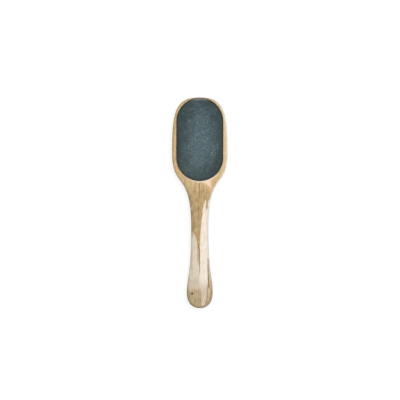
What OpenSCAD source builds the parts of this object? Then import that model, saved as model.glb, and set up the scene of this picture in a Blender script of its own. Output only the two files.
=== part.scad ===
// Two-sided foot file: a hardwood paddle with a cushioned abrasive pad on each face of its head.
// X is the width, Y runs from the end of the handle to the tip of the head, Z is the thickness.
// The origin is at mid-length, on the surface that the file lies on with its front pad upwards.

/* [Overall] */
// Length from the tip of the head to the end of the handle
total_l = 240; // [225:1:260]
// Thickness of the wood
wood_t = 9; // [8:0.5:12]

/* [Head] */
// Width of the head at its widest
head_w = 63.2; // [56:0.1:72]
// Distance from the foot of a pad up to the widest place of the head
head_widest_rise = 32.2; // [26:0.1:40]
// Width of the head's rounded edge, seen from above
head_edge_w = 3.5; // [2:0.1:4.5]
// Depth of the head's rounded edge, on each face
head_edge_h = 2.2; // [1.5:0.1:3.2]

/* [Neck and handle] */
// Width of the neck at its narrowest
neck_w = 19.5; // [16:0.5:23]
// Distance from the foot of a pad down to the narrowest place of the neck
shoulder_l = 52.3; // [46:0.1:62]
// Width of the handle at its widest
handle_w = 29.5; // [26:0.5:33]
// Distance from the end of the handle to its widest place
handle_widest_l = 17.5; // [15:0.5:24]
// Width of the handle's rounded edge, seen from above
handle_edge_w = 6; // [3:0.5:7]
// Depth of the handle's rounded edge, on each face
handle_edge_h = 3.4; // [2:0.1:3.8]

/* [Pads] */
// Width of the wooden rim left on each side of a pad
pad_rim_w = 4.8; // [4:0.1:7]
// Length of a pad where it meets the wood
pad_l = 95; // [84:1:105]
// Distance from the tip of the head to a pad
pad_tip_gap = 0.3; // [0.2:0.1:3]
// Thickness of the adhesive film under a pad
adhesive_t = 0.2; // [0.1:0.05:0.4]
// Thickness of the foam cushion
foam_t = 1; // [0.6:0.1:3]
// How far the foot of the foam stands out past the sheet
foam_flare = 0.5; // [0.1:0.1:1.2]
// Thickness of the paper that carries the grit
paper_t = 0.4; // [0.2:0.05:0.8]
// Thickness of the fine grit on the front
front_grit_t = 0.35; // [0.2:0.05:0.8]
// Thickness of the coarse grit on the rear
rear_grit_t = 0.5; // [0.2:0.05:1]
// Width of the rolled rim of a grit coat
grit_rim_w = 0.6; // [0.3:0.1:1.2]

/* [Hidden] */

// Clearance between the wood and an adhesive film, which faces of two curvatures need
seat_gap = 0.03;
// Share of a grit coat's thickness by which its rim rolls down
grit_rim_drop_share = 0.7;

// Handles of the outline's four curves, as shares of the sizes that each curve spans:
// tip to widest head, widest head to neck, neck to widest handle, widest handle to end
tip_shares = [0.84, 0.8];
shoulder_shares = [0.5, 0.77];
grip_shares = [0.75, 0.26];
end_shares = [0.8, 0.45];
tip_steps = 28;
shoulder_steps = 24;
grip_steps = 14;
end_steps = 18;

// Steps round the wood's edge, from its side wall to its flat face, and round a grit coat's rim
edge_steps = 6;
grit_rim_steps = 3;
pad_tip_steps = 36;
pad_foot_steps = 24;
// Places of a pad's rings between its flat and its rim, as shares of the way from the rim
pad_ring_shares = [1, 0.74, 0.54, 0.38, 0.24, 0.12, 0.05, 0];

// Distances from the tip of the head
pad_end_l = pad_tip_gap + pad_l;
head_widest_l = pad_end_l - head_widest_rise;
neck_l = pad_end_l + shoulder_l;

pad_w = head_w - 2 * pad_rim_w;
pad_r = pad_w / 2;
pad_tip_centre_y = total_l / 2 - pad_tip_gap - pad_r;
pad_foot_centre_y = total_l / 2 - pad_end_l + pad_r;

// Heights of a pad's layers above the flat face of the wood
adhesive_z = seat_gap;
foam_z = adhesive_z + adhesive_t;
paper_z = foam_z + foam_t;
grit_z = paper_z + paper_t;
mid_z = grit_z + rear_grit_t + wood_t / 2;

// Points of a cubic curve, without its last one
function curve(a, b, c, d, steps) = [
    for (i = [0 : steps - 1])
        let (t = i / steps, s = 1 - t)
            s * s * s * a + 3 * s * s * t * b + 3 * s * t * t * c + t * t * t * d
];

// Right half of the outline, from the tip to the end. Each point is [half width, distance from the tip].
function half_outline() =
    let (tip = [0, 0],
         head = [head_w / 2, head_widest_l],
         neck = [neck_w / 2, neck_l],
         handle = [handle_w / 2, total_l - handle_widest_l],
         end = [0, total_l],
         neck_run = neck_l - head_widest_l,
         grip_run = handle[1] - neck_l)
    concat(
        curve(tip, [tip_shares[0] * head[0], 0],
              head - [0, tip_shares[1] * head_widest_l], head, tip_steps),
        curve(head, head + [0, shoulder_shares[0] * neck_run],
              neck - [0, shoulder_shares[1] * neck_run], neck, shoulder_steps),
        curve(neck, neck + [0, grip_shares[0] * grip_run],
              handle - [0, grip_shares[1] * grip_run], handle, grip_steps),
        curve(handle, handle + [0, end_shares[0] * handle_widest_l],
              [end_shares[1] * handle[0], total_l], end, end_steps),
        [end]);

// The whole outline, clockwise from the tip when seen from above
function whole_outline() =
    let (half = half_outline(), last = len(half) - 1)
    concat(
        [for (p = half) [p[0], total_l / 2 - p[1]]],
        [for (i = [last - 1 : -1 : 1]) [-half[i][0], total_l / 2 - half[i][1]]]);

OUTLINE = whole_outline();

function unit(v) = v / norm(v);

// Direction into the wood, square to the outline at its point i
function inward(i) =
    let (n = len(OUTLINE),
         along = unit(OUTLINE[(i + 1) % n] - OUTLINE[(i + n - 1) % n]))
    [along[1], -along[0]];

// 0 up to the end of the pads, 1 from the neck on, and a smooth change between them
function handle_share(y) =
    let (t = min(1, max(0, (total_l / 2 - y - pad_end_l) / (neck_l - pad_end_l))))
    t * t * (3 - 2 * t);

function edge_w(y) = head_edge_w + handle_share(y) * (handle_edge_w - head_edge_w);
function edge_h(y) = head_edge_h + handle_share(y) * (handle_edge_h - head_edge_h);

// One ring round the edge of the upper half of the wood, at an angle up from its side wall
function edge_ring(angle) = [
    for (i = [0 : len(OUTLINE) - 1])
        let (p = OUTLINE[i],
             q = p + inward(i) * edge_w(p[1]) * (1 - cos(angle)))
            [q[0], q[1], wood_t / 2 - edge_h(p[1]) * (1 - sin(angle))]
];

// The rings of the upper half of the wood, from its flat face down to its side wall
function edge_rings() = [for (i = [edge_steps : -1 : 0]) edge_ring(90 * i / edge_steps)];

function flipped(ring) = [for (p = ring) [p[0], p[1], -p[2]]];
function reversed(list) = [for (i = [len(list) - 1 : -1 : 0]) list[i]];

// Two triangles over the points a, b, c and d, folded along the higher diagonal,
// so that two layers that share these points also share the fold
function folded(points, a, b, c, d) =
    points[a][2] + points[c][2] > points[b][2] + points[d][2]
        ? [[a, b, c], [a, c, d]]
        : [[a, b, d], [b, c, d]];

// A closed solid over rings that have the same number of points, from the top one down
module skin(rings) {
    n = len(rings[0]);
    last = len(rings) - 1;
    points = [for (ring = rings) each ring];
    polyhedron(
        points = points,
        faces = concat(
            [[for (i = [0 : n - 1]) i]],
            [for (k = [0 : last - 1], i = [0 : n - 1])
                let (next = (i + 1) % n)
                    each folded(points, k * n + i, (k + 1) * n + i, (k + 1) * n + next, k * n + next)],
            [[for (i = [n - 1 : -1 : 0]) last * n + i]]),
        convexity = 6);
}

function to_segment(p, a, b) =
    let (t = min(1, max(0, (p - a) * (b - a) / ((b - a) * (b - a)))))
    norm(p - a - t * (b - a));

// Distance from a place on the head to the outline
function edge_distance(p) = min([
    for (i = [0 : len(OUTLINE) - 1])
        let (a = OUTLINE[i], b = OUTLINE[(i + 1) % len(OUTLINE)])
            if (a[1] > pad_foot_centre_y - pad_w)
                to_segment(p, a, b)
]);

// How far the head's face lies below its flat at a place, where the rounded edge falls away
function fall(p) =
    let (t = max(0, 1 - edge_distance(p) / head_edge_w))
    head_edge_h * (1 - sqrt(1 - t * t));

// Outline of a pad, clockwise from the left end of its tip, drawn in by a distance
function pad_outline(inset) = concat(
    [for (i = [0 : pad_tip_steps])
        let (angle = 180 - 180 * i / pad_tip_steps)
            [(pad_r - inset) * cos(angle), pad_tip_centre_y + (pad_r - inset) * sin(angle)]],
    [for (i = [0 : pad_foot_steps])
        let (angle = -180 * i / pad_foot_steps)
            [(pad_r - inset) * cos(angle), pad_foot_centre_y + (pad_r - inset) * sin(angle)]]);

// A ring of a pad that follows the wood at a height
function pad_ring(inset, height) = [
    for (p = pad_outline(inset)) [p[0], p[1], wood_t / 2 + height - fall(p)]
];

// The rings of one surface of a pad at a height, from its flat part out to its rim
function pad_surface(rim, height) = [for (s = pad_ring_shares) pad_ring(rim + s * head_edge_w, height)];

// One layer of a pad. Its foot is at height low and its top at height high, each drawn in by its rim.
module pad_layer(low, high, low_rim, high_rim) {
    skin(concat(pad_surface(high_rim, high), reversed(pad_surface(low_rim, low))));
}

// A grit coat, whose rim rolls down to the paper
module grit_layer(thickness) {
    drop = thickness * grit_rim_drop_share;
    high = grit_z + thickness;
    skin(concat(
        pad_surface(foam_flare + grit_rim_w, high),
        [for (i = [grit_rim_steps - 1 : -1 : 0])
            let (angle = 90 * i / grit_rim_steps)
                pad_ring(foam_flare + grit_rim_w * (1 - cos(angle)), high - drop * (1 - sin(angle)))],
        reversed(pad_surface(foam_flare, grit_z))));
}

module front() {
    translate([0, 0, mid_z])
        children();
}

module rear() {
    translate([0, 0, mid_z])
        mirror([0, 0, 1])
            children();
}

module wooden_body() {
    color("#caab80")
        front()
            skin(concat(
                edge_rings(),
                [for (ring = reversed(edge_rings())) flipped(ring)]));
}

module adhesive_film() {
    color("gainsboro")
        pad_layer(adhesive_z, foam_z, 0, 0);
}

module foam_cushion() {
    color("#33312d")
        pad_layer(foam_z, paper_z, 0, foam_flare);
}

module backing_paper() {
    color("#3a3f40")
        pad_layer(paper_z, grit_z, foam_flare, foam_flare);
}

module grit_coat(thickness, shade) {
    color(shade)
        grit_layer(thickness);
}

wooden_body();
front() adhesive_film();  // front_adhesive_film
front() foam_cushion();  // front_foam_cushion
front() backing_paper();  // front_backing_paper
front() grit_coat(front_grit_t, "#56686c");  // front_grit_coat
rear() adhesive_film();  // rear_adhesive_film
rear() foam_cushion();  // rear_foam_cushion
rear() backing_paper();  // rear_backing_paper
rear() grit_coat(rear_grit_t, "#414b4e");  // rear_grit_coat
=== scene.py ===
# Looks of a two-sided foot file: an oiled hardwood paddle with a cushioned abrasive pad
# on each face of its head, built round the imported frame. Lengths are in metres.
import math

import bpy
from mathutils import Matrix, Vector


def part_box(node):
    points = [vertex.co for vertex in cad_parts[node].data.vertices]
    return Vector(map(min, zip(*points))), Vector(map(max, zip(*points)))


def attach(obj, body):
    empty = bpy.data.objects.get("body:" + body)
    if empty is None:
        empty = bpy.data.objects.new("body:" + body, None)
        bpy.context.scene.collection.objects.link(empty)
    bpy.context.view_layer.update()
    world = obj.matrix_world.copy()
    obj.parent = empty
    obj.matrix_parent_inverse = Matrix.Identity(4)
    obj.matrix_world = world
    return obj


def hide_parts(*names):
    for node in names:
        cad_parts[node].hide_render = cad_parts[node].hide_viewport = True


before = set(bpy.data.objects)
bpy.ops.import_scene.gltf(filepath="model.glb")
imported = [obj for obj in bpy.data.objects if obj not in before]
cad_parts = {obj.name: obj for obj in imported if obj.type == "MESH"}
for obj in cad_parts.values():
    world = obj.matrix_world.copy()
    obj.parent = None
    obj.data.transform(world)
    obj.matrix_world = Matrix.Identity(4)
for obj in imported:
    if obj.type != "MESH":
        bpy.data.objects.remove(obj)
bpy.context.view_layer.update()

MM = 0.001
BODY = "root"

# The wood, from its box and from the sizes that no box gives
WOOD_LOW, WOOD_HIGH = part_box("wooden_body")
TIP_Y = WOOD_HIGH.y
END_Y = WOOD_LOW.y
LENGTH = TIP_Y - END_Y
HEAD_HALF_W = WOOD_HIGH.x
WOOD_T = WOOD_HIGH.z - WOOD_LOW.z
WOOD_MID_Z = (WOOD_HIGH.z + WOOD_LOW.z) / 2
HEAD_WIDEST_Y = TIP_Y - 63.1 * MM
NECK_Y = TIP_Y - 147.6 * MM
NECK_HALF_W = 9.75 * MM
HANDLE_WIDEST_Y = END_Y + 17.5 * MM
HANDLE_HALF_W = 14.75 * MM
HEAD_EDGE_W = 3.5 * MM
HEAD_EDGE_H = 2.2 * MM
HANDLE_EDGE_W = 6 * MM
HANDLE_EDGE_H = 3.4 * MM

# Handles of the outline's curves, as shares of the sizes that each curve spans:
# tip to widest head, widest head to neck, neck to widest handle, widest handle to end
TIP_SHARES = (0.84, 0.8)
SHOULDER_SHARES = (0.5, 0.77)
GRIP_SHARES = (0.75, 0.26)
END_SHARES = (0.8, 0.45)

# The pads, from the boxes of their layers
FOAM_LOW, FOAM_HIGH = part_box("front_foam_cushion")
SHEET_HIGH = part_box("front_backing_paper")[1]
PAD_R = FOAM_HIGH.x
PAD_TOP_Y = FOAM_HIGH.y - PAD_R
PAD_FOOT_Y = FOAM_LOW.y + PAD_R
PAD_END_Y = FOAM_LOW.y
SHEET_INSET = FOAM_HIGH.x - SHEET_HIGH.x
SEAT_GAP = 0.03 * MM

# How far the pads' upper surfaces sink towards their rims, and over which width
PILLOW_H = 0.12 * MM
PILLOW_W = 5 * MM

# The soft cushions: shares of their wall's fall where it has rings, how much the wall swells out, where 1 is
# straight, and how full they are
WALL_SHARES = (0.12, 0.28, 0.44, 0.6, 0.76, 0.9)
WALL_SWELL = 1.3
FOAM_FILL = 0.95

# The rolled rim of a grit coat
ROLL_W = 0.6 * MM
ROLL_DROP_SHARE = 0.7
ROLL_ANGLES = (72, 54, 36, 18, 0)

# The rims of the layers waver a little: how long a wave is, and how far inside a rim the wavering ends
WAVER_LENGTH = 2.5 * MM
WAVER_REACH = 3 * MM

# Abrasive grains: their sizes, their spacing as a share of the size, the greatest and least share of the
# size that each axis has, how far their corners shift as a share of it, and how level a face has to be
# to carry them
FINE_GRAIN = 0.26 * MM
COARSE_GRAIN = 0.42 * MM
FINE_SPACING = 1.25
COARSE_SPACING = 1
SQUAREST, FLATTEST = 1, 0.55
CHIP_SHARE = 0.12
LEVEL_ENOUGH = 0.4
GRAIN_SEED = 7

# The wood's figure on its front face, in millimetres. It leans with the depth under that face,
# so the rear shows the same lines shifted. Lines are places along the wood and across it.
FIGURE_REACH = 130
FIGURE_SPAN = 40
FIGURE_LEAN = 0.35
HEART_RIGHT = [(-130, -1), (-70, -0.4), (-54, -0.1), (-38, 0.6), (-29.6, 1.3), (-20.2, 2.1), (-13, 2.9),
               (-8.8, 3), (-4.2, 4.2), (1.5, 5.8), (3.8, 6.6), (6.5, 12), (130, 40)]
HEART_LEFT = [(-130, 1), (-70, 0.2), (-54, -1.2), (-49.8, -2.3), (-43, -3.7), (-38.4, -5), (-33.9, -7.6),
              (-31.5, -12), (-26, -22), (130, -40)]
TONGUE_RIGHT = [(-130, 9.3), (-7, 9.3), (1.5, 9.8), (4, 11.5), (6.5, 20), (130, 40)]
SEAM = [(-130, 0), (-99, 0.4), (-69.5, -0.3), (-55, -0.4), (-50, -1), (130, -1.2)]
RIGHT_LINE = [(-130, 9.4), (-96, 10), (-64, 9.7), (130, 9.6)]
END_LINE = [(-130, 5), (-115.4, 6.5), (-111, 7.6), (-107, 8.6), (-92, 8.8), (130, 8.8)]
RIM_LINE = [(-130, 5), (-113.7, 9.9), (-111.4, 11.1), (-107.4, 12.2), (-100, 13.3), (130, 13.3)]

# Listed streaks: place across the wood, upper end, lower end, strength
DARK_STREAKS = [(-4.9, 24, 14, 0.35), (-5.1, 15, 8.5, 0.45), (-0.4, 24, 13, 0.6), (-0.7, 13, 6, 0.5),
                (4.2, 20, 13, 0.4), (1.9, 13, 6, 0.45), (5.4, 9, 4, 0.45), (7.4, 15, 6, 0.3),
                (-11.2, 11, 5, 0.3), (-10.7, 5.5, -4, 0.3), (-3.7, 5, 1, 0.6), (-1.4, -2, -8, 0.6),
                (-1.4, -11, -19, 0.4), (-4.9, -5.5, -10.5, 0.35), (-7.2, -5.5, -11, 0.4),
                (-6, -22, -30, 0.4), (-1.9, -24, -29, 0.25), (-1.4, -46.5, -52, 0.7),
                (-30, 95, 30, 0.25), (-8.6, -60, -82, 0.2), (-5.8, -108, -118, 0.3)]
PALE_STREAKS = [(-2.6, 23, 11, 0.7), (-8.3, 24, 17, 0.6), (0.8, 22, 19, 0.5), (2.6, 6, 1, 0.4),
                (6.2, 17, 7, 0.4), (-4.6, 3, -4, 0.3), (-9.4, -4.5, -8.5, 0.8), (-8.8, -23.5, -26.5, 0.6),
                (10.6, -98, -108, 0.6), (-4.4, -29, -33, 0.5)]

# Fibres along the wood: width, length, contrast and shift, and the share that each has in the streaks
FIBRES = {"ragged": (0.5, 6, 1, 3), "ringed": (4, 90, 2, 11), "banded": (1.1, 22, 2.5, 8),
          "sappy": (2.4, 40, 3, 5), "hair": (0.3, 6.5, 2.6, 2), "narrow": (0.8, 5.4, 2.8, 1),
          "thread": (0.22, 15, 2.6, 6), "wide": (1, 30, 2.4, 4), "broad": (2.6, 60, 2.2, 0)}
STREAK_SHARES = {"hair": 0.3, "narrow": 0.54, "thread": 0.4, "wide": 0.12, "broad": 0.04}

# Tinted places on the front face: centre, radii, strength and colour
TINTS = [((-9.5, 14.6), (2, 3.6), 0.5, "rosy"), ((-14.4, 20.5), (2.4, 3.2), 0.6, "olive"),
         ((-17.6, 20.5), (1.4, 4), 0.6, "brown"), ((-9.2, -36), (2.6, 4.5), 0.7, "rosy"),
         ((-13, -93), (3.2, 5), 0.6, "pale rose"), ((13.8, 22.5), (2.4, 4), 0.6, "orange"),
         ((11.8, 16), (2.2, 4.6), 0.8, "orange")]

# The pin knot near the end of the handle
KNOT = (-8.7, -103.2)

# Growth rings: the place of their centre beside and under the wood, their width and their wander
PITH = (-62, -24)
RING_W = 1.7
RING_WANDER = 8

# The pads in millimetres: where their paler middles lie, a painted sheen with dust in it, and the front
# one's pale scuffs as centre, radii, strength
SHEEN_AND_DUST_CENTRE = (0.8, 70)
SHEEN_AND_DUST_RADII = (23.5, 52)
SCUFFS = [((15, 56), (4.4, 4), 1.15), ((0, 66.5), (3.6, 3.6), 0.4), ((-9.5, 70), (4, 3), 0.45),
          ((-2, 98.5), (3.6, 3), 0.4), ((-3.4, 42), (2.6, 6.5), 0.3), ((10, 95), (2.6, 4), 0.35),
          ((-10.8, 46), (3.6, 4.4), 0.3), ((-5, 112.5), (4.4, 3), 0.4), ((16.5, 58), (6.5, 12), 0.35)]

# Directions of rubbed strokes, in degrees
STROKE_ANGLES = (15, 62, 104, 151)

# The photograph's frame
FRAME_PX = 400
LENGTH_PX = 210.5
CENTRE_PX = (199.8, 202.8)

# The light of the surroundings, and how grey the table is and how much it glows for the camera
SURROUNDING_LIGHT = 0.45
TABLE_GREY = 0.35
TABLE_GLOW = 0.75


def srgb(red, green, blue):
    """A shader's colour from display values of 0 to 255."""
    def linear(value):
        share = value / 255
        return share / 12.92 if share <= 0.04045 else ((share + 0.055) / 1.055) ** 2.4
    return (linear(red), linear(green), linear(blue), 1)


# Colours of the wood
WOOD = {
    "heart": srgb(210, 178, 127), "neck heart": srgb(184, 155, 107), "end heart": srgb(183, 160, 121),
    "sap": srgb(242, 229, 212), "end sap": srgb(215, 194, 171), "left sap": srgb(219, 208, 185),
    "rosy left sap": srgb(226, 207, 187), "lower left sap": srgb(199, 184, 161),
    "highlight_strip": srgb(245, 234, 214), "deep strip": srgb(236, 208, 166), "pale streak": srgb(228, 200, 160),
    "dark streak": srgb(118, 92, 52), "fleck": srgb(124, 98, 58), "pore": srgb(122, 90, 56),
    "knot": srgb(70, 42, 10), "pale_band": srgb(243, 228, 208), "lit edge": srgb(246, 232, 200),
    "pale foot": srgb(250, 223, 192), "rosy": srgb(212, 172, 136), "pale rose": srgb(222, 196, 178),
    "olive": srgb(206, 187, 132), "brown": srgb(160, 140, 96), "orange": srgb(224, 180, 128)}


def spaced(values):
    """Values by their sockets' names, from names that are written with _ for a space."""
    return {label.replace("_", " "): value for label, value in values.items()}


class Recipe:
    """Adds and links the nodes of one tree, so that the tree reads from its first step to its last."""

    def __init__(self, tree):
        self.tree = tree

    def add(self, kind, inputs=None, **settings):
        """A new node. inputs gives values, or other nodes' sockets, to sockets by name or number."""
        node = self.tree.nodes.new(kind)
        for name, value in settings.items():
            setattr(node, name, value)
        for key, value in (inputs or {}).items():
            self.feed(node.inputs[key], value)
        return node

    def feed(self, socket, value):
        if isinstance(value, bpy.types.NodeSocket):
            self.tree.links.new(value, socket)
        else:
            socket.default_value = value

    def made(self, kind, settings=None, **inputs):
        """What a new geometry node makes."""
        return self.add("GeometryNode" + kind, spaced(inputs), **(settings or {})).outputs[0]

    def math(self, operation, *values, clamp=False):
        inputs = dict(enumerate(values))
        return self.add("ShaderNodeMath", inputs, operation=operation, use_clamp=clamp).outputs[0]

    def times(self, product, *factors):
        for factor in factors:
            product = self.math("MULTIPLY", product, factor)
        return product

    def most(self, greatest, *others):
        for other in others:
            greatest = self.math("MAXIMUM", greatest, other)
        return greatest

    def plus(self, value, added):
        return self.math("ADD", value, added)

    def less(self, value, taken):
        return self.math("SUBTRACT", value, taken)

    def parted(self, value, divisor):
        return self.math("DIVIDE", value, divisor)

    def more(self, base, value, share):
        """base with a share of a value added to it."""
        return self.math("MULTIPLY_ADD", value, share, base)

    def rest(self, share):
        """What a share leaves of 1."""
        return self.less(1, share)

    def held(self, value, low, high):
        """A value kept between two limits."""
        return self.math("MAXIMUM", self.math("MINIMUM", value, high), low)

    def ranged(self, value, low, high, to_low=0, to_high=1, kind="LINEAR"):
        """A value between low and high, mapped to between to_low and to_high."""
        inputs = {"Value": value, "From Min": low, "From Max": high, "To Min": to_low, "To Max": to_high}
        return self.add("ShaderNodeMapRange", inputs, interpolation_type=kind).outputs["Result"]

    def eased(self, value, low, high, to_low=0, to_high=1):
        """The same with a soft start and a soft end."""
        return self.ranged(value, low, high, to_low, to_high, "SMOOTHSTEP")

    def level(self, mask, without, within):
        """One value where a mask is 0, another where it is 1."""
        return self.ranged(mask, 0, 1, without, within)

    def over(self, value, level, soft):
        """1 where a value is over a level, 0 where it is under it, soft in between."""
        return self.eased(value, level - soft, level + soft)

    def near(self, value, half, soft):
        """1 within half of zero, fading to 0 over soft."""
        return self.eased(self.math("ABSOLUTE", value), half, half + soft, 1, 0)

    def vector(self, operation, *values):
        node = self.add("ShaderNodeVectorMath", dict(enumerate(values)), operation=operation)
        return node.outputs["Value" if operation == "LENGTH" else "Vector"]

    def scaled(self, vector, factor):
        return self.add("ShaderNodeVectorMath", {0: vector, "Scale": factor}, operation="SCALE").outputs[0]

    def shrunk(self, vector, size):
        return self.scaled(vector, self.parted(1, size))

    def xyz(self, vector):
        node = self.add("ShaderNodeSeparateXYZ", {0: vector})
        return node.outputs["X"], node.outputs["Y"], node.outputs["Z"]

    def joined(self, x, y, z):
        return self.add("ShaderNodeCombineXYZ", {"X": x, "Y": y, "Z": z}).outputs[0]

    def upright(self, height):
        return self.joined(0, 0, height)

    def apart(self, x, y):
        """How far apart two places are that differ by x and y."""
        return self.vector("LENGTH", self.joined(x, y, 0))

    def oval(self, x, y, centre, radii):
        """The distance from the centre of an oval, where its border is 1."""
        return self.apart(self.parted(self.less(x, centre[0]), radii[0]),
                          self.parted(self.less(y, centre[1]), radii[1]))

    def noise(self, vector, detail=2, roughness=0.5):
        inputs = {"Vector": vector, "Scale": 1, "Detail": detail, "Roughness": roughness}
        return self.add("ShaderNodeTexNoise", inputs).outputs["Fac"]

    def cells(self, vector):
        """Cells about one unit wide: the outputs of their pattern."""
        return self.add("ShaderNodeTexVoronoi", {"Vector": vector, "Scale": 1}).outputs

    def mix(self, factor, first, second, blend="MIX"):
        """A colour between two colours."""
        inputs = {0: factor, 6: first, 7: second}
        return self.add("ShaderNodeMix", inputs, data_type="RGBA", blend_type=blend).outputs[2]

    def shaded(self, colour, factor):
        """A colour made lighter or darker by a factor."""
        return self.mix(1, colour, self.joined(factor, factor, factor), "MULTIPLY")

    def group(self, name, **inputs):
        """A use of a shader node group. Gives its outputs."""
        tree = bpy.data.node_groups[name]
        return self.add("ShaderNodeGroup", spaced(inputs), node_tree=tree).outputs

    def mottle(self, place, blotch, fine, contrast, share=0.5):
        return self.group("mottle", Place=place, Blotch_size=blotch, Fine_size=fine, Fine_share=share,
                          Contrast=contrast)["Tone"]

    def specks(self, place, spacing, size, kept):
        return self.group("specks", Place=place, Spacing=spacing, Size_share=size, Kept_share=kept)["Mask"]

    def scuffs(self, place, length, width, level, softness=0.1):
        return self.group("scuffs", Place=place, Stroke_length=length, Stroke_width=width, Level=level,
                          Softness=softness)["Mask"]


def placed(name, data):
    """A new object in the scene."""
    thing = bpy.data.objects.new(name, data)
    bpy.context.scene.collection.objects.link(thing)
    return thing


# Geometry trees

def geometry_tree(name, **kinds):
    """A geometry tree with a material and inputs of several kinds. Gives its recipe and its inputs."""
    tree = bpy.data.node_groups.new(name, "GeometryNodeTree")
    for kind, labels in {"Geometry": "Geometry", "Material": "Material", **kinds}.items():
        for label in labels.split(", "):
            tree.interface.new_socket(label, in_out="INPUT", socket_type="NodeSocket" + kind)
    tree.interface.new_socket("Geometry", in_out="OUTPUT", socket_type="NodeSocketGeometry")
    recipe = Recipe(tree)
    return recipe, recipe.add("NodeGroupInput").outputs


def grown(name, tree, **values):
    """The piece that a geometry tree makes with these values: a plain mesh with its object at the origin."""
    host = placed(name + "_host", bpy.data.meshes.new(name + "_host"))
    modifier = host.modifiers.new(tree.name, "NODES")
    modifier.node_group = tree
    wanted = spaced(values)
    for item in tree.interface.items_tree:
        if item.in_out == "INPUT" and item.name.lower() in wanted:
            modifier[item.identifier] = wanted.pop(item.name.lower())
    if wanted:
        raise KeyError(f"{tree.name} has no input named {sorted(wanted)}")
    graph = bpy.context.evaluated_depsgraph_get()
    mesh = bpy.data.meshes.new_from_object(host.evaluated_get(graph), depsgraph=graph)
    bpy.data.objects.remove(host)
    mesh.name = name
    return placed(name, mesh)


def shape_of(r, thing):
    return r.add("GeometryNodeObjectInfo", {"Object": thing}).outputs["Geometry"]


def capture(r, geometry, **fields):
    """Keeps fields on a geometry's points. Gives the geometry and a socket for each kept field."""
    node = r.add("GeometryNodeCaptureAttribute", {"Geometry": geometry}, domain="POINT")
    for label, socket in fields.items():
        node.capture_items.new("VECTOR" if socket.type == "VECTOR" else "FLOAT", label)
        r.feed(node.inputs[label], socket)
    return node.outputs["Geometry"], [node.outputs[label] for label in fields]


def random_value(r, kind, low, high, seed):
    """A random number or vector for each element of the geometry that uses it."""
    node = r.add("FunctionNodeRandomValue", {"Seed": seed}, data_type=kind)
    lowest, highest = [socket for socket in node.inputs if socket.enabled][:2]
    r.feed(lowest, low)
    r.feed(highest, high)
    return next(socket for socket in node.outputs if socket.enabled)


def finish(r, given, geometry, smooth):
    """The last steps of every geometry tree: real meshes, their shading and their material."""
    geometry = r.made("RealizeInstances", Geometry=geometry)
    geometry = r.made("SetShadeSmooth", Geometry=geometry, Shade_Smooth=smooth)
    geometry = r.made("SetMaterial", Geometry=geometry, Material=given["Material"])
    r.add("NodeGroupOutput", {"Geometry": geometry})
    return r.tree


def paddle_tree():
    """Sweeps a rounded edge round a flat outline and closes it with a flat face on each side."""
    r, given = geometry_tree(
        "rounded_paddle", Object="Outline", Int="Points round, Points over edge",
        Float="Thickness, Middle height, Head edge width, Head edge depth, Handle edge width, "
              "Handle edge depth, Head edge ends, Handle edge starts")
    loop = r.made("ResampleCurve", Curve=shape_of(r, given["Outline"]), Count=given["Points round"])
    place = r.made("InputPosition")
    inward = r.vector("CROSS_PRODUCT", r.made("InputTangent"), (0, 0, 1))
    handle = r.eased(r.xyz(place)[1], given["Head edge ends"], given["Handle edge starts"])
    width = r.level(handle, given["Head edge width"], given["Handle edge width"])
    depth = r.level(handle, given["Head edge depth"], given["Handle edge depth"])
    loop, kept = capture(r, loop, place=place, inward=inward, width=width, depth=depth)
    place, inward, width, depth = kept

    # The edge's section runs from one flat face to the other, with its straight wall in the middle
    section = r.made("ResampleCurve", Curve=r.made("CurvePrimitiveLine"), Count=given["Points over edge"])
    section, (share,) = capture(r, section, share=r.made("SplineParameter"))
    side = r.less(r.times(share, 2), 1)
    wall = r.parted(1, r.less(given["Points over edge"], 1))
    angle = r.ranged(r.math("ABSOLUTE", side), wall, 1, 0, math.pi / 2)
    inset = r.times(width, r.rest(r.math("COSINE", angle)))
    fall = r.times(depth, r.rest(r.math("SINE", angle)))
    half = r.parted(given["Thickness"], 2)
    height = r.times(r.math("SIGN", side), r.less(half, fall))
    edge = r.made("CurveToMesh", Curve=loop, Profile_Curve=section)
    swept = r.vector("ADD", r.vector("ADD", place, r.scaled(inward, inset)), r.upright(height))
    edge = r.made("SetPosition", Geometry=edge, Position=swept)
    edge = r.made("StoreNamedAttribute", Geometry=edge, Name="edge_share", Value=r.math("COSINE", angle))

    rim = r.made("SetPosition", Geometry=loop, Position=r.vector("ADD", place, r.scaled(inward, width)))
    face = r.made("FillCurve", {"mode": "NGONS"}, Curve=rim)
    up = r.upright(half)
    front = r.made("Transform", Geometry=face, Translation=up)
    back = r.made("Transform", Geometry=face, Translation=r.scaled(up, -1))
    back = r.made("FlipFaces", Mesh=back)
    whole = r.add("GeometryNodeJoinGeometry")
    for part in (edge, front, back):
        r.feed(whole.inputs[0], part)
    solid = r.made("MergeByDistance", Geometry=whole.outputs[0], Distance=0.01 * MM)
    solid = r.made("Transform", Geometry=solid, Translation=r.upright(given["Middle height"]))
    return finish(r, given, solid, smooth=True)


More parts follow.
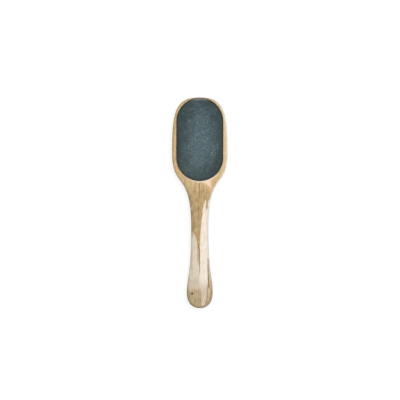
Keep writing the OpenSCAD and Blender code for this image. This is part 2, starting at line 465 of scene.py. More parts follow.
def pad_layer_tree():
    """Sweeps a layer's section round a pad's outline and lays it on the wood."""
    r, given = geometry_tree(
        "pad_layer", Object="Outline, Section, Wood", Int="Points round",
        Float="Side, Radius, Spine top, Spine foot, Waver, Waver length, Seed")
    place = r.made("InputPosition")
    loop = r.made("ResampleCurve", Curve=shape_of(r, given["Outline"]), Count=given["Points round"])
    loop, (rim,) = capture(r, loop, rim=place)
    section, (cut,) = capture(r, shape_of(r, given["Section"]), cut=place)
    layer = r.made("CurveToMesh", Curve=loop, Profile_Curve=section)

    # Every ring is drawn in towards the pad's middle line, a little unevenly at its rim
    spine_y = r.held(r.xyz(rim)[1], given["Spine foot"], given["Spine top"])
    to_spine = r.vector("SUBTRACT", r.joined(0, spine_y, 0), rim)
    inset, height, _ = r.xyz(cut)
    place_on_rim = r.vector("ADD", r.shrunk(rim, given["Waver length"]), r.upright(given["Seed"]))
    fade = r.ranged(inset, 0, WAVER_REACH, 1, 0)
    waver = r.times(r.noise(place_on_rim, detail=3), given["Waver"], fade)
    share = r.parted(r.plus(inset, waver), given["Radius"])
    flat = r.vector("ADD", rim, r.scaled(to_spine, share))
    far = r.scaled(r.upright(given["Side"]), 100 * MM)
    hit = r.add("GeometryNodeRaycast", {
        "Target Geometry": shape_of(r, given["Wood"]), "Source Position": r.vector("ADD", flat, far),
        "Ray Direction": r.scaled(far, -1), "Ray Length": 1}).outputs["Hit Position"]
    lift = r.upright(r.times(height, given["Side"]))
    layer = r.made("SetPosition", Geometry=layer, Position=r.vector("ADD", hit, lift))
    layer = r.made("MergeByDistance", Geometry=layer, Distance=0.005 * MM)
    layer = r.made("FlipFaces", Mesh=layer, Selection=r.math("GREATER_THAN", given["Side"], 0))
    return finish(r, given, layer, smooth=True)


def grain_tree():
    """Strews abrasive grains over the outer face of a sheet, half sunk in its binder."""
    r, given = geometry_tree("strewn_grains", Object="Sheet", Int="Sides, Rings, Seed",
                             Float="Side, Grain size, Spacing, Most per area")
    seed = given["Seed"]
    outward = r.times(r.xyz(r.made("InputNormal"))[2], given["Side"])
    points = r.made("DistributePointsOnFaces", {"distribute_method": "POISSON"},
                    Mesh=shape_of(r, given["Sheet"]), Selection=r.math("GREATER_THAN", outward, LEVEL_ENOUGH),
                    Distance_Min=given["Spacing"], Density_Max=given["Most per area"], Seed=seed)
    grain = r.made("MeshUVSphere", Segments=given["Sides"], Rings=given["Rings"], Radius=0.5)
    turn = random_value(r, "FLOAT_VECTOR", (0, 0, 0), (2 * math.pi,) * 3, seed)
    turn = r.add("FunctionNodeEulerToRotation", {"Euler": turn}).outputs[0]
    shape = random_value(r, "FLOAT_VECTOR", (FLATTEST,) * 3, (SQUAREST,) * 3, seed)
    grains = r.made("InstanceOnPoints", Points=points, Instance=grain, Rotation=turn,
                    Scale=r.scaled(shape, given["Grain size"]))
    grains = r.made("StoreNamedAttribute", {"domain": "INSTANCE"}, Geometry=grains, Name="grain_tone",
                    Value=random_value(r, "FLOAT", 0, 1, seed))
    grains = r.made("RealizeInstances", Geometry=grains)
    chip = random_value(r, "FLOAT_VECTOR", (-CHIP_SHARE,) * 3, (CHIP_SHARE,) * 3, seed)
    grains = r.made("SetPosition", Geometry=grains, Offset=r.scaled(chip, given["Grain size"]))
    return finish(r, given, grains, smooth=False)


# Curves that the geometry trees follow

def new_curve(name, kind):
    """A new curve. Gives its object and its spline, which has one point."""
    data = bpy.data.curves.new(name, "CURVE")
    data.dimensions = "3D"
    data.resolution_u = 32
    return placed(name, data), data.splines.new(kind)


def closed_curve(name, points):
    """A closed curve through points, each given with the handle before it and the handle after it."""
    curve, spline = new_curve(name, "BEZIER")
    spline.bezier_points.add(len(points) - 1)
    spline.use_cyclic_u = True
    for point, (before, place, after) in zip(spline.bezier_points, points):
        point.handle_left = (*before, 0)
        point.co = (*place, 0)
        point.handle_right = (*after, 0)
    return curve


def open_line(name, points):
    """A line through points of a cross-section: x is the way inwards, y the height."""
    line, spline = new_curve(name, "POLY")
    spline.points.add(len(points) - 1)
    for point, (inset, height) in zip(spline.points, points):
        point.co = (inset, height, 0, 1)
    return line


def mirrored(name, top, right, foot):
    """A closed curve from its top, down its right side and back up its left side, which mirrors the right."""
    left = [tuple((-x, y) for x, y in reversed(places)) for places in reversed(right)]
    return closed_curve(name, [top, *right, foot, *left])


def level_point(y, reach):
    """A point on the middle line where an outline runs straight across, with its two handles."""
    return (-reach, y), (0, y), (reach, y)


def side_point(x, y, above, below):
    """A point where an outline runs straight down, with its two handles."""
    return (x, y + above), (x, y), (x, y - below)


def paddle_outline():
    """The file's outline, clockwise from the tip when seen from the front."""
    head_run = TIP_Y - HEAD_WIDEST_Y
    shoulder_run = HEAD_WIDEST_Y - NECK_Y
    grip_run = NECK_Y - HANDLE_WIDEST_Y
    end_run = HANDLE_WIDEST_Y - END_Y
    return mirrored("paddle_outline", level_point(TIP_Y, TIP_SHARES[0] * HEAD_HALF_W), [
        side_point(HEAD_HALF_W, HEAD_WIDEST_Y, TIP_SHARES[1] * head_run, SHOULDER_SHARES[0] * shoulder_run),
        side_point(NECK_HALF_W, NECK_Y, SHOULDER_SHARES[1] * shoulder_run, GRIP_SHARES[0] * grip_run),
        side_point(HANDLE_HALF_W, HANDLE_WIDEST_Y, GRIP_SHARES[1] * grip_run, END_SHARES[0] * end_run),
    ], level_point(END_Y, -END_SHARES[1] * HANDLE_HALF_W))


def pad_outline():
    """A pad's outline, an upright stadium, clockwise from its top."""
    reach = 4 / 3 * math.tan(math.pi / 8) * PAD_R
    third = (PAD_TOP_Y - PAD_FOOT_Y) / 3
    return mirrored("pad_outline", level_point(PAD_TOP_Y + PAD_R, reach), [
        side_point(PAD_R, PAD_TOP_Y, reach, third),
        side_point(PAD_R, PAD_FOOT_Y, third, reach),
    ], level_point(PAD_FOOT_Y - PAD_R, -reach))


def ring_insets(rim, count=16, crowding=2.3):
    """How far a surface's rings lie inside the pad's outline, from the rim inwards, crowded at the rim."""
    return [rim + (PAD_R - rim) * (i / count) ** crowding for i in range(count + 1)]


def pillowed(height, inset, rim):
    """A height of an upper surface, sunk a little towards the rim."""
    sunk = max(0, 1 - (inset - rim) / PILLOW_W)
    return height - PILLOW_H * sunk * sunk


def layer_section(low, high, low_inset, high_inset, wall, sunk_low):
    """A layer's section, from the middle of its outer face round its rim to the middle of its inner one."""
    outer = [(inset, pillowed(high, inset, high_inset)) for inset in reversed(ring_insets(high_inset))]
    inner = [(inset, pillowed(low, inset, low_inset) if sunk_low else low)
             for inset in ring_insets(low_inset)]
    return open_line("layer_section", outer + wall + inner)


def rolled_rim(low, top):
    """The rim of a grit coat, from its flat down to its edge."""
    rim = SHEET_INSET + ROLL_W
    drop = ROLL_DROP_SHARE * (top - low)
    height = pillowed(top, rim, rim)
    return [(SHEET_INSET + ROLL_W * (1 - math.cos(angle)), height - drop * (1 - math.sin(angle)))
            for angle in map(math.radians, ROLL_ANGLES)]


def bulged_wall(low, high):
    """The soft wall of a cushion, which swells out towards its foot."""
    top = high - PILLOW_H
    return [(SHEET_INSET * (1 - share) ** WALL_SWELL, low + (top - low) * (1 - share))
            for share in WALL_SHARES]


# Effects that more than one material uses. Places are in millimetres.

def shader_group(name, **inputs):
    """A shader node group of places and named inputs. Gives its recipe, its places and its inputs."""
    tree = bpy.data.node_groups.new(name, "ShaderNodeTree")
    tree.interface.new_socket("Place", in_out="INPUT", socket_type="NodeSocketVector")
    for label, value in spaced(inputs).items():
        kind = "NodeSocketColor" if isinstance(value, tuple) else "NodeSocketFloat"
        socket = tree.interface.new_socket(label, in_out="INPUT", socket_type=kind)
        socket.default_value = value
    recipe = Recipe(tree)
    given = recipe.add("NodeGroupInput").outputs
    return recipe, given["Place"], given


def close_group(r, **outputs):
    """The outputs of a shader node group: Colour is a colour, and the others are numbers."""
    for label in outputs:
        kind = "NodeSocketColor" if label == "Colour" else "NodeSocketFloat"
        r.tree.interface.new_socket(label, in_out="OUTPUT", socket_type=kind)
    r.add("NodeGroupOutput", outputs)


def contrasted(r, tone, contrast):
    """A tone of 0 to 1 about a half, with more contrast."""
    return r.math("MULTIPLY_ADD", r.less(tone, 0.5), contrast, 0.5, clamp=True)


def mottle_group():
    """Soft blotches with finer ones in them, from 0 to 1 about a half."""
    r, place, given = shader_group("mottle", Blotch_size=5, Fine_size=1.2, Fine_share=0.5, Contrast=1.6)
    wide = r.noise(r.shrunk(place, given["Blotch size"]))
    fine = r.noise(r.shrunk(place, given["Fine size"]), detail=3, roughness=0.6)
    both = r.add("ShaderNodeMix", {0: given["Fine share"], 2: wide, 3: fine}, data_type="FLOAT").outputs[0]
    close_group(r, Tone=contrasted(r, both, given["Contrast"]))


def speck_group():
    """Scattered round specks: 1 in the middle of each, 0 between them."""
    r, place, given = shader_group("specks", Spacing=1, Size_share=0.3, Kept_share=0.4)
    cells = r.cells(r.shrunk(place, given["Spacing"]))
    kept = r.math("LESS_THAN", r.xyz(cells["Color"])[0], given["Kept share"])
    spot = r.eased(cells["Distance"], 0, given["Size share"], 1, 0)
    close_group(r, Mask=r.times(spot, kept))


def fibre_group():
    """Fibres that run along the wood, from 0 to 1 about a half."""
    r, place, given = shader_group("fibres", Width=1, Length=30, Contrast=1.6, Shift=0)
    stretched = r.vector("DIVIDE", place, r.joined(given["Width"], given["Length"], given["Width"]))
    stretched = r.vector("ADD", stretched, r.upright(given["Shift"]))
    close_group(r, Tone=contrasted(r, r.noise(stretched, roughness=0.55), given["Contrast"]))


def scuff_group():
    """Short strokes in several directions, as rubbing leaves them."""
    r, place, given = shader_group("scuffs", Stroke_length=4, Stroke_width=0.5, Level=0.66, Softness=0.1)
    x, y, z = r.xyz(place)
    strokes = 0
    for angle in STROKE_ANGLES:
        run = math.cos(math.radians(angle))
        rise = math.sin(math.radians(angle))
        along = r.parted(r.more(r.times(y, rise), x, run), given["Stroke length"])
        aside = r.parted(r.more(r.times(x, -rise), y, run), given["Stroke width"])
        stretched = r.joined(along, aside, r.plus(z, 7 * angle))
        over = r.less(r.noise(stretched, detail=1), given["Level"])
        strokes = r.most(strokes, r.ranged(over, 0, given["Softness"]))
    close_group(r, Mask=strokes)


def pad_rim_group():
    """How far a place lies inside the outline of a pad."""
    r, place, _ = shader_group("pad_rim")
    x, y, _ = r.xyz(place)
    spine_y = r.held(y, PAD_FOOT_Y / MM, PAD_TOP_Y / MM)
    close_group(r, Distance=r.less(PAD_R / MM, r.apart(x, r.less(y, spine_y))))


def dust_group():
    """Pale dust that settles in patches over a colour."""
    r, place, given = shader_group("dust", Colour=srgb(128, 128, 128), Dust_colour=srgb(170, 168, 160),
                                   Amount=0.3)
    amount = r.times(r.ranged(r.mottle(place, blotch=3, fine=0.7, contrast=3), 0.45, 0.85), given["Amount"])
    close_group(r, Colour=r.mix(amount, given["Colour"], given["Dust colour"]))


def grit_group():
    """The colour of an abrasive face: a painted sheen with dust in its middle, painted shade towards
    its rim, and a painted highlight at its tip.
    """
    r, on_pad, given = shader_group(
        "grit_tone", Shift=0, Middle_colour=srgb(77, 96, 101), Rim_colour=srgb(43, 58, 58),
        Edge_colour=srgb(38, 41, 38), Dust_colour=srgb(156, 176, 182), Worn_colour=srgb(150, 152, 146),
        Dust=0.5, Scuffed=1)
    x, y, _ = r.xyz(on_pad)
    place = r.vector("ADD", on_pad, r.upright(given["Shift"]))

    # The painted sheen, where the dust lies too, sits a little off the pad's middle
    # and bends aside at its foot. Outside it the colour darkens towards the rim as painted shade
    bent_x = r.plus(x, r.ranged(y, 62, 40, 0, 4.5))
    off_middle = r.oval(bent_x, y, SHEEN_AND_DUST_CENTRE, SHEEN_AND_DUST_RADII)
    blotches = r.mottle(place, blotch=9, fine=4, contrast=2.6)
    middle = r.eased(r.more(off_middle, r.less(blotches, 0.5), 0.7), 1.15, 0.15)
    colour = r.mix(middle, given["Rim colour"], given["Middle colour"])

    # Pale dust lies in strokes, in patches and in specks, and some grains catch more of it than others
    strokes = r.scuffs(place, length=4.4, width=1.1, level=0.56, softness=0.24)
    patches = r.specks(place, spacing=2.6, size=0.5, kept=0.35)
    grains = r.specks(place, spacing=0.9, size=0.5, kept=0.35)
    fine = r.mottle(place, blotch=2.2, fine=0.6, contrast=3)
    cell = r.xyz(r.cells(r.scaled(place, MM / FINE_GRAIN))["Color"])[0]
    caught = r.ranged(cell, 0.2, 1, 0.25, 2.1)
    dusty = r.more(r.times(strokes, 0.4), grains, 0.12)
    dusty = r.more(dusty, r.times(patches, r.ranged(fine, 0.3, 0.7)), 0.6)
    dusty = r.times(dusty, r.ranged(middle, 0, 0.8, 0.2, 1), r.ranged(blotches, 0.2, 0.8, 0.65, 1.4))
    dusty = r.math("MULTIPLY", r.times(dusty, caught), given["Dust"], clamp=True)
    for centre, radii, strength in SCUFFS:
        distance = r.plus(r.oval(x, y, centre, radii), r.less(fine, 0.5))
        scuff = r.times(r.ranged(distance, 0, 1.1, strength, 0), given["Scuffed"])
        dusty = r.most(dusty, r.times(scuff, r.ranged(fine, 0.35, 0.8), caught))
    colour = r.mix(dusty, colour, given["Dust colour"])

    # The fine mottling is weaker near the rim, and the grey turns from bluer to greener in soft patches
    unevenness = r.times(r.less(fine, 0.5), r.level(middle, 0.26, 0.5))
    colour = r.shaded(colour, r.plus(unevenness, 0.975))
    greener = r.mottle(place, blotch=15, fine=5, contrast=3.5, share=0.4)
    hue = r.mix(greener, (0.96, 0.995, 1.05, 1), (1, 1.005, 0.95, 1))
    colour = r.mix(1, colour, hue, "MULTIPLY")

    # The rolled rim is painted darker as shade, but for the tip, which is painted pale grey as a highlight
    from_rim = r.group("pad_rim", Place=on_pad)["Distance"]
    colour = r.mix(r.eased(from_rim, 0.9, 3.2, 0.85, 0), colour, given["Edge colour"])
    at_tip = r.times(r.over(y, 117, 1.8), r.near(r.less(x, 1.5), 8, 7))
    tip_highlight = r.times(at_tip, r.ranged(fine, 0.1, 0.7, 0.5, 0.8))
    close_group(r, Colour=r.mix(tip_highlight, colour, given["Worn colour"]), Dusty=dusty)


# Materials

class Surface(Recipe):
    """A new material: its shader, and the places on it in millimetres."""

    def __init__(self, name, specular):
        self.material = bpy.data.materials.new(name)
        self.material.use_nodes = True
        super().__init__(self.material.node_tree)
        self.shader = self.tree.nodes["Principled BSDF"]
        self.shader.inputs["Specular IOR Level"].default_value = specular
        self.place = self.scaled(self.add("ShaderNodeTexCoord").outputs["Object"], 1 / MM)

    def dusted(self, colour, dust_colour, amount):
        return self.group("dust", Place=self.place, Colour=colour, Dust_colour=dust_colour,
                          Amount=amount)["Colour"]

    def painted(self, colour, roughness, height=None, depth=0):
        """The finished material. A height of 0 to 1 raises its surface by a depth in metres."""
        self.feed(self.shader.inputs["Base Color"], colour)
        self.feed(self.shader.inputs["Roughness"], roughness)
        if height is not None:
            relief = self.add("ShaderNodeBump", {"Height": height, "Distance": depth, "Strength": 1})
            self.feed(self.shader.inputs["Normal"], relief.outputs[0])
        return self.material


class WoodGrain(Surface):
    """The wood, with the places that its figure follows: across it, along it and under its front face."""

    def __init__(self, name, specular):
        super().__init__(name, specular)
        self.x, self.y, self.z = self.xyz(self.place)
        self.down = self.times(self.y, -1)
        self.depth = self.less(WOOD_HIGH.z / MM, self.z)
        wander = self.noise(self.vector("DIVIDE", self.place, (6, 14, 6)))
        leant = self.more(self.x, self.depth, FIGURE_LEAN)
        self.across = self.more(leant, self.less(wander, 0.5), 0.8)
        self.figure = self.joined(self.across, self.y, self.z)
        self.ragged = self.less(self.fibre("ragged"), 0.5)
        self.along = self.more(self.y, self.ragged, 4)

    def fibre(self, name):
        width, length, contrast, shift = FIBRES[name]
        return self.group("fibres", Place=self.figure, Width=width, Length=length, Contrast=contrast,
                          Shift=shift)["Tone"]

    def rings(self):
        """Growth rings: 0 in early wood, up to 1 in late wood."""
        wander = self.noise(self.vector("DIVIDE", self.place, (30, 70, 30)))
        from_pith = self.apart(self.less(self.x, PITH[0]), self.less(self.z, PITH[1]))
        phase = self.math("FRACT", self.parted(self.more(from_pith, wander, RING_WANDER), RING_W))
        late = self.times(self.eased(phase, 0.3, 0.9), self.ranged(phase, 1, 0.92))
        return self.times(late, self.ranged(self.fibre("ringed"), 0.2, 0.8, 0.4, 1))

    def dashes(self, width, length, size, kept):
        """Scattered dashes along the wood: 1 in the middle of each, 0 between them."""
        return self.specks(self.vector("DIVIDE", self.figure, (width, length, width)), 1, size, kept)

    def course(self, along, places):
        """A smooth line through given places, each (along, across) in millimetres."""
        node = self.add("ShaderNodeFloatCurve", {"Value": self.ranged(along, -FIGURE_REACH, FIGURE_REACH)})
        points = node.mapping.curves[0].points
        while len(points) < len(places):
            points.new(0.5, 0.5)
        for point, (place, across) in zip(points, sorted(places)):
            point.location = ((place / FIGURE_REACH + 1) / 2, (across / FIGURE_SPAN + 1) / 2)
            point.handle_type = "AUTO_CLAMPED"
        node.mapping.update()
        return self.level(node.outputs[0], -FIGURE_SPAN, FIGURE_SPAN)

    def beyond(self, line, along=None):
        """How far a place lies right of a line."""
        return self.less(self.across, self.course(along or self.y, line))

    def right_of(self, line, soft):
        return self.over(self.beyond(line, self.along), 0, soft)

    def upto(self, top, foot, soft=1.5):
        """1 from one place along the wood down to another."""
        above = self.over(self.down, -top, soft)
        return self.times(above, self.ranged(self.down, -foot - soft, -foot + soft, 1, 0))

    def streaks(self, places):
        """A mask of streaks, each about one millimetre wide."""
        mask = 0
        for across, top, foot, strength in places:
            reach = (top - foot) / 3
            aside = self.near(self.less(self.across, across), 0.2, 0.7)
            length = self.near(self.less(self.along, (top + foot) / 2), reach, reach)
            mask = self.most(mask, self.times(aside, length, strength))
        return mask

    def turned(self, colour, level, soft, other):
        """A colour that turns into another one of the wood's at a distance down the handle."""
        return self.mix(self.over(self.down, level, soft), colour, WOOD[other])


def heartwood(r, banded):
    """Where the wood is tan: 1 in the heartwood, 0 in the sapwood."""
    heart = r.times(r.rest(r.right_of(HEART_RIGHT, 0.4)), r.right_of(HEART_LEFT, 0.5))
    tongue = r.times(r.over(r.across, 7, 0.4), r.rest(r.right_of(TONGUE_RIGHT, 0.5)),
                     r.eased(r.along, -10, -4))

    # Tan wood again at the end of the handle, and right of the lines there
    from_end = r.more(r.down, r.less(banded, 0.5), 9)
    end = r.times(r.over(from_end, 98, 3), r.over(r.less(1.9, r.across), 0, 0.5))
    last = r.over(r.down, 117.2, 0.9)
    outer = r.times(r.over(r.beyond(RIGHT_LINE), 0, 0.6), r.ranged(r.down, 60, 90))
    foot = r.times(r.over(r.beyond(END_LINE), -0.4, 0.6), r.over(r.down, 94, 3))
    outer = r.times(r.most(outer, foot), r.ranged(banded, 0.2, 0.8, 0.4, 0.85))

    # A tan streak along the seam
    beside = r.times(r.near(r.plus(r.across, 1.9), 0.6, 1.1), r.upto(-48, -68, 4), 0.7)
    return r.most(heart, tongue, end, outer, last, beside)


def brown_lines(r):
    """Where the flames meet and the lines near the handle's right edge: 1 in them, 0 elsewhere."""
    def line(places, half, soft, reach, strength):
        return r.times(r.near(r.beyond(places), half, soft), reach, strength)

    return r.most(
        line(SEAM, 0.35, 0.5, r.over(r.down, 50, 2), r.eased(r.y, -86, -70, 0.1, 1)),
        line(RIGHT_LINE, 0.4, 0.9, r.upto(-63, -96.5), r.ranged(r.down, 58, 86, 0.6, 1)),
        line(END_LINE, 0.2, 0.7, r.upto(-94, -118), 0.6),
        line(RIM_LINE, 0.2, 0.7, r.upto(-98, -116), 0.7))


def tinted(r, colour):
    """A wood colour with the tinted places of the front face."""
    on_front = r.eased(r.depth, 5, 2.5)
    for centre, radii, strength, tint in TINTS:
        distance = r.more(r.oval(r.x, r.y, centre, radii), r.ragged, 1.2)
        mask = r.times(r.eased(distance, 0.4, 1.2, strength, 0), on_front)
        colour = r.mix(mask, colour, WOOD[tint])

    # Pale wood at the right of the pad's foot, over a line that slopes down to the right
    across_slope = r.more(r.times(r.y, 0.799), r.x, 0.602)
    level = r.more(20.6, r.ragged, 5)
    pale = r.times(r.eased(r.less(across_slope, level), -1, 1.6), r.eased(r.x, 14.5, 10.5),
                   r.ranged(r.y, 34, 28), on_front, 0.85)
    return r.mix(pale, colour, WOOD["pale foot"])


def oiled_hardwood():
    """Tan heartwood with pale sapwood in two flames, brown lines, pores and a pin knot."""
    r = WoodGrain("oiled_hardwood", specular=0.4)
    banded = r.fibre("banded")
    tan = heartwood(r, banded)

    # The heartwood is browner down the neck, and the sapwood greyer on its left and pinker at its end
    heart = r.mix(r.eased(r.y, 26, 3), WOOD["heart"], WOOD["neck heart"])
    heart = r.turned(heart, 92, 8, "end heart")
    left_sap = r.mix(r.fibre("sappy"), WOOD["left sap"], WOOD["rosy left sap"])
    left_sap = r.turned(left_sap, 87, 6, "lower left sap")
    sap = r.mix(r.eased(r.across, 0.7, -1.7), WOOD["sap"], left_sap)
    colour = r.mix(tan, r.turned(sap, 93, 9, "end sap"), heart)

    # The wood's sides and ends: how far a place faces sideways, and how far it shows end grain
    normal_x, normal_y, _ = r.xyz(r.add("ShaderNodeTexCoord").outputs["Normal"])
    to_end = r.math("ABSOLUTE", normal_y)
    sideways = r.plus(r.plus(r.math("ABSOLUTE", normal_x), to_end), 0.01)
    to_right = r.eased(r.parted(normal_x, sideways), 0.15, 0.55)
    end_grain = r.eased(to_end, 0.3, 0.8)

    # A painted highlight along the right-facing edge of the head and its shoulder, pale as sapwood
    edge = r.add("ShaderNodeAttribute", attribute_name="edge_share").outputs["Fac"]
    highlight_strip = r.times(r.over(edge, 0.62, 0.3), to_right, r.ranged(r.along, -12, 2), 0.85)
    highlight_strip_colour = r.mix(r.eased(r.depth, 1.4, 3.2), WOOD["highlight_strip"], WOOD["deep strip"])
    colour = r.mix(highlight_strip, colour, highlight_strip_colour)

    # Lengthwise streaks, broad and fine, weaker in the sapwood, with growth rings on the ends
    fibres = {name: r.fibre(name) for name in STREAK_SHARES}
    streaks = 0
    for name, share in STREAK_SHARES.items():
        streaks = r.more(streaks, r.less(fibres[name], 0.5), share)
    streaks = r.times(streaks, r.level(tan, 0.42, 0.85), r.level(end_grain, 1, 0.35))
    rings = r.times(r.rings(), r.level(end_grain, 0.08, 0.26), r.level(tan, 0.5, 1))
    tone = r.less(r.plus(streaks, 1.03), rings)
    warm = r.joined(tone, r.math("POWER", tone, 1.15), r.math("POWER", tone, 1.4))
    colour = r.mix(1, colour, warm, "MULTIPLY")

    # Listed streaks, and the brown lines
    hair = fibres["hair"]
    narrow = fibres["narrow"]
    colour = r.mix(r.streaks(PALE_STREAKS), colour, WOOD["pale streak"])
    dark = r.most(r.times(brown_lines(r), r.ranged(narrow, 0.2, 0.7, 0.75, 1)), r.streaks(DARK_STREAKS))
    colour = r.mix(r.times(dark, r.ranged(hair, 0.1, 0.6, 0.6, 1.05)), colour, WOOD["dark streak"])

    # Short flecks and open pores, mostly in the heartwood
    flecks = r.times(r.dashes(width=1.5, length=6, size=0.5, kept=0.35), r.level(tan, 0.1, 0.62),
                     r.ranged(hair, 0.2, 0.6, 0.4, 1), r.rest(end_grain))
    colour = r.mix(flecks, colour, WOOD["fleck"])
    pores = r.times(r.dashes(width=0.32, length=4.6, size=0.44, kept=0.36), r.level(tan, 0.25, 1))
    colour = r.mix(r.times(pores, 0.62), colour, WOOD["pore"])

    # The pin knot, and the tinted places
    from_knot = r.oval(r.across, r.y, KNOT, (1, 1))
    colour = r.mix(r.eased(from_knot, 0.75, 1.65, 1, 0), colour, WOOD["knot"])
    colour = tinted(r, colour)

    # A pale band along the foot of the pad, painted shade and dirt over the edge on the left,
    # and painted light on the right edge
    from_pad = r.group("pad_rim", Place=r.place)["Distance"]
    pale_band = r.times(r.near(r.plus(from_pad, 0.8), 0.6, 0.8), r.ranged(r.y, 36, 26),
                    r.ranged(r.x, -14, 4, 0.35, 0.9), r.ranged(hair, 0, 0.5, 0.75, 1))
    colour = r.mix(pale_band, colour, WOOD["pale_band"])
    darker = r.times(r.ranged(edge, 0.6, 1), r.ranged(r.x, 9, 0), r.rest(r.upto(-38, -90, 5)))
    colour = r.shaded(colour, r.level(darker, 1, 0.8))
    left = r.times(r.ranged(r.x, -6, -15), r.upto(40, 4, 8))
    colour = r.shaded(colour, r.level(left, 1, 0.95))
    right = r.times(r.ranged(r.x, 20, 26), r.ranged(r.y, 24, 40), 0.2)
    colour = r.mix(right, colour, WOOD["lit edge"])

    # Handling leaves broad tones, and rubbing leaves fine strokes
    handled = r.mottle(r.place, blotch=14, fine=4, contrast=2, share=0.4)
    rubbed = r.scuffs(r.place, length=9, width=0.35, level=0.7)
    rough = r.more(r.more(r.level(handled, 0.42, 0.56), pores, 0.2), rubbed, 0.08)
    relief = r.more(r.more(r.times(narrow, 0.2), hair, 0.25), fibres["thread"], 0.2)
    relief = r.less(r.less(relief, pores), r.times(rubbed, 0.1))
    return r.painted(r.shaded(colour, r.level(handled, 0.95, 1.04)), rough, relief, depth=0.03 * MM)


def grit_binder(name, grain, **looks):
    """The binder of an abrasive coat, lumpy with the grains that are sunk in it, and dusty."""
    r = Surface(name, specular=0.35)
    tone = r.group("grit_tone", Place=r.place, **looks)
    lumps = r.cells(r.scaled(r.place, 1 / grain))
    own, own_height, _ = r.xyz(lumps["Color"])
    height = r.times(r.ranged(lumps["Distance"], 0, 0.75, 1, 0), r.level(own_height, 0.4, 1))
    return r.painted(r.shaded(tone["Colour"], r.level(own, 0.76, 1.26)),
                     r.ranged(tone["Dusty"], 0, 0.5, 0.7, 0.95), height, depth=0.35 * grain * MM)


def grit_grains(name, brightest, **looks):
    """Abrasive grains, each with its own tone and shine."""
    r = Surface(name, specular=0.35)
    tone = r.group("grit_tone", Place=r.place, **looks)
    own = r.add("ShaderNodeAttribute", attribute_name="grain_tone").outputs["Fac"]
    bright = r.level(r.math("POWER", own, 2), 0.6, brightest)
    return r.painted(r.shaded(tone["Colour"], bright), r.level(own, 0.3, 0.75))


def cellular_foam():
    """Dark closed-cell foam. Its cut edge shows its cells and some dust."""
    r = Surface("cellular_foam", specular=0.25)
    cells = r.specks(r.place, spacing=0.28, size=0.6, kept=0.8)
    colour = r.mix(r.times(cells, 0.6), srgb(60, 59, 53), srgb(34, 33, 30))
    return r.painted(r.dusted(colour, srgb(150, 146, 136), 0.3), r.level(cells, 0.75, 0.95),
                     r.times(cells, -1), depth=0.08 * MM)


def backing_paper():
    """Dark coated paper. Its cut edge is a little paler and shows fibres."""
    r = Surface("backing_paper", specular=0.3)
    layered = r.vector("MULTIPLY", r.place, (1, 1, 6))
    fibre = r.mottle(layered, blotch=0.9, fine=0.2, contrast=2.4, share=0.6)
    colour = r.mix(fibre, srgb(52, 55, 53), srgb(88, 92, 88))
    return r.painted(r.dusted(colour, srgb(160, 160, 152), 0.35), r.level(fibre, 0.7, 0.9), fibre,
                     depth=0.04 * MM)


def adhesive_film():
    """Thin yellowish tape, whose sticky edge has picked up dirt."""
    r = Surface("adhesive_film", specular=0.5)
    cloudy = r.mottle(r.place, blotch=2, fine=0.4, contrast=2)
    colour = r.mix(cloudy, srgb(150, 138, 112), srgb(190, 180, 154))
    return r.painted(r.dusted(colour, srgb(90, 86, 76), 0.6), r.level(cloudy, 0.25, 0.5), cloudy,
                     depth=0.02 * MM)


def all_materials():
    for make_group in (mottle_group, speck_group, fibre_group, scuff_group, pad_rim_group, dust_group,
                       grit_group):
        make_group()
    fine = {"Dust": 0.75}
    coarse = {"Shift": 40, "Scuffed": 0, "Dust": 0.6, "Middle_colour": srgb(72, 83, 86),
              "Rim_colour": srgb(54, 62, 64), "Dust_colour": srgb(138, 146, 146)}
    shared = {"adhesive_film": adhesive_film(), "foam_cushion": cellular_foam(),
              "backing_paper": backing_paper()}
    return {
        "wood": oiled_hardwood(),
        "front": {**shared, "grit_coat": grit_binder("fine_grit_binder", 0.3, **fine),
                  "grains": grit_grains("fine_grains", 2.6, **fine)},
        "rear": {**shared, "grit_coat": grit_binder("coarse_grit_binder", 0.5, **coarse),
                 "grains": grit_grains("coarse_grains", 3.2, **coarse)},
    }


# Camera, lights and table

def photo_camera():
    """A long lens straight above the file, framed as the photograph is."""
    pixel = LENGTH / LENGTH_PX
    data = bpy.data.cameras.new("photo_camera")
    data.sensor_width = 36
    data.lens = 200
    data.clip_end = 20
    camera = placed("photo_camera", data)
    distance = data.lens / data.sensor_width * FRAME_PX * pixel
    camera.location = ((FRAME_PX / 2 - CENTRE_PX[0]) * pixel, (CENTRE_PX[1] - FRAME_PX / 2) * pixel,
                       WOOD_MID_Z + distance)
    bpy.context.scene.camera = camera


def softbox(name, location, size, power):
    """A square lamp that faces the middle of the file."""
    data = bpy.data.lights.new(name, "AREA")
    data.shape = "SQUARE"
    data.size = size
    data.energy = power
    lamp = placed(name, data)
    lamp.location = location
    lamp.rotation_euler = (-Vector(location)).to_track_quat("-Z", "Y").to_euler()
    lamp.visible_camera = False


def emptied(owner):
    """The recipe of a world or a material without its first nodes, and the outputs of a light path."""
    owner.use_nodes = True
    owner.node_tree.nodes.clear()
    r = Recipe(owner.node_tree)
    return r, r.add("ShaderNodeLightPath").outputs


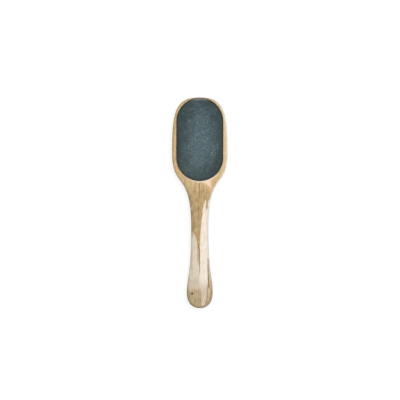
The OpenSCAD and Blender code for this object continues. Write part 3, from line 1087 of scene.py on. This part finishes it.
def studio():
    """A white table under a soft, even light that comes mostly from the upper right."""
    world = bpy.data.worlds.new("studio")
    bpy.context.scene.world = world
    r, path = emptied(world)
    seen = r.most(path["Is Camera Ray"], path["Is Glossy Ray"])
    strength = r.level(seen, SURROUNDING_LIGHT, 1)
    backdrop = r.add("ShaderNodeBackground", {"Color": (1, 1, 1, 1), "Strength": strength})
    r.add("ShaderNodeOutputWorld", {"Surface": backdrop.outputs[0]})

    softbox("key_softbox", location=(0.45, 0.35, 1.1), size=0.8, power=7.4)
    softbox("fill_softbox", location=(-0.6, -0.3, 1), size=1, power=2.5)

    material = bpy.data.materials.new("white_table")
    r, path = emptied(material)
    glow = r.times(path["Is Camera Ray"], TABLE_GLOW)
    paint = r.add("ShaderNodeBsdfDiffuse", {"Color": (TABLE_GREY, TABLE_GREY, TABLE_GREY, 1)})
    glow = r.add("ShaderNodeEmission", {"Color": (1, 1, 1, 1), "Strength": glow})
    both = r.add("ShaderNodeAddShader", {0: paint.outputs[0], 1: glow.outputs[0]})
    r.add("ShaderNodeOutputMaterial", {"Surface": both.outputs[0]})
    bpy.ops.mesh.primitive_plane_add(size=6)
    table = bpy.context.object
    table.name = "white_table"
    table.data.materials.append(material)


# Pieces

def declare(piece, node=None):
    """Ties a finished piece to the frame."""
    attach(piece, BODY)
    if node:
        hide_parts(node)


def build_wood(material):
    outline = paddle_outline()
    wood = grown("wooden_paddle", paddle_tree(), outline=outline, thickness=WOOD_T,
                 middle_height=WOOD_MID_Z, head_edge_width=HEAD_EDGE_W, head_edge_depth=HEAD_EDGE_H,
                 handle_edge_width=HANDLE_EDGE_W, handle_edge_depth=HANDLE_EDGE_H,
                 head_edge_ends=PAD_END_Y, handle_edge_starts=NECK_Y,
                 points_round=420, points_over_edge=26, material=material)
    bpy.data.objects.remove(outline)
    declare(wood, "wooden_body")
    return wood


def layer_heights(face, side):
    """Heights of a pad's layers above the wood, from the frame's boxes."""
    heights = [SEAT_GAP]
    for layer in ("adhesive_film", "foam_cushion", "backing_paper", "grit_coat"):
        low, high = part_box(f"{face}_{layer}")
        heights.append(high.z - WOOD_HIGH.z if side > 0 else WOOD_LOW.z - low.z)
    return heights


def build_pad(face, side, wood, outline, trees, materials):
    """A pad's four layers, and the grains on it."""
    heights = layer_heights(face, side)
    fine = face == "front"
    grit_slot = "fine_grit" if fine else "coarse_grit"
    grain = FINE_GRAIN if fine else COARSE_GRAIN
    spacing = (FINE_SPACING if fine else COARSE_SPACING) * grain

    # The binder lies lower than the frame's box, so that the grains on it stay inside the box
    heights[-1] -= (0.5 + CHIP_SHARE) * grain

    # Each layer's slot, the insets of its lower and upper rims, its wall, its wavering and its fill
    layers = {
        "adhesive_film": ("adhesive", 0, 0, [], 0.06 * MM, None),
        "foam_cushion": ("foam", 0, SHEET_INSET, bulged_wall(*heights[1:3]), 0.16 * MM, FOAM_FILL),
        "backing_paper": ("backing_paper", SHEET_INSET, SHEET_INSET, [], 0.08 * MM, None),
        "grit_coat": (grit_slot, SHEET_INSET, SHEET_INSET + ROLL_W, rolled_rim(*heights[3:]), 0.06 * MM,
                      None),
    }
    for number, (layer, (slot, low_inset, high_inset, wall, waver, fill)) in enumerate(layers.items()):
        section = layer_section(*heights[number:number + 2], low_inset, high_inset, wall, number > 0)
        piece = grown(f"{face}_{layer}_piece", trees["layer"], outline=outline, section=section, wood=wood,
                      side=float(side), radius=PAD_R, spine_top=PAD_TOP_Y, spine_foot=PAD_FOOT_Y,
                      points_round=240, waver=waver, waver_length=WAVER_LENGTH,
                      seed=float(number + 10 * side), material=materials[layer])
        bpy.data.objects.remove(section)
        declare(piece, f"{face}_{layer}")

    # The last of the layers, the grit coat, carries the grains
    grains = grown(f"{face}_grains", trees["grains"], sheet=piece, side=float(side), grain_size=grain,
                   spacing=spacing, most_per_area=2 / spacing ** 2, sides=4, rings=2, seed=GRAIN_SEED,
                   material=materials["grains"])
    declare(grains)


def build():
    photo_camera()
    studio()
    materials = all_materials()
    wood = build_wood(materials["wood"])
    outline = pad_outline()
    trees = {"layer": pad_layer_tree(), "grains": grain_tree()}
    build_pad("front", 1, wood, outline, trees, materials["front"])
    build_pad("rear", -1, wood, outline, trees, materials["rear"])
    bpy.data.objects.remove(outline)


build()
bpy.context.scene.view_settings.view_transform = "Standard"
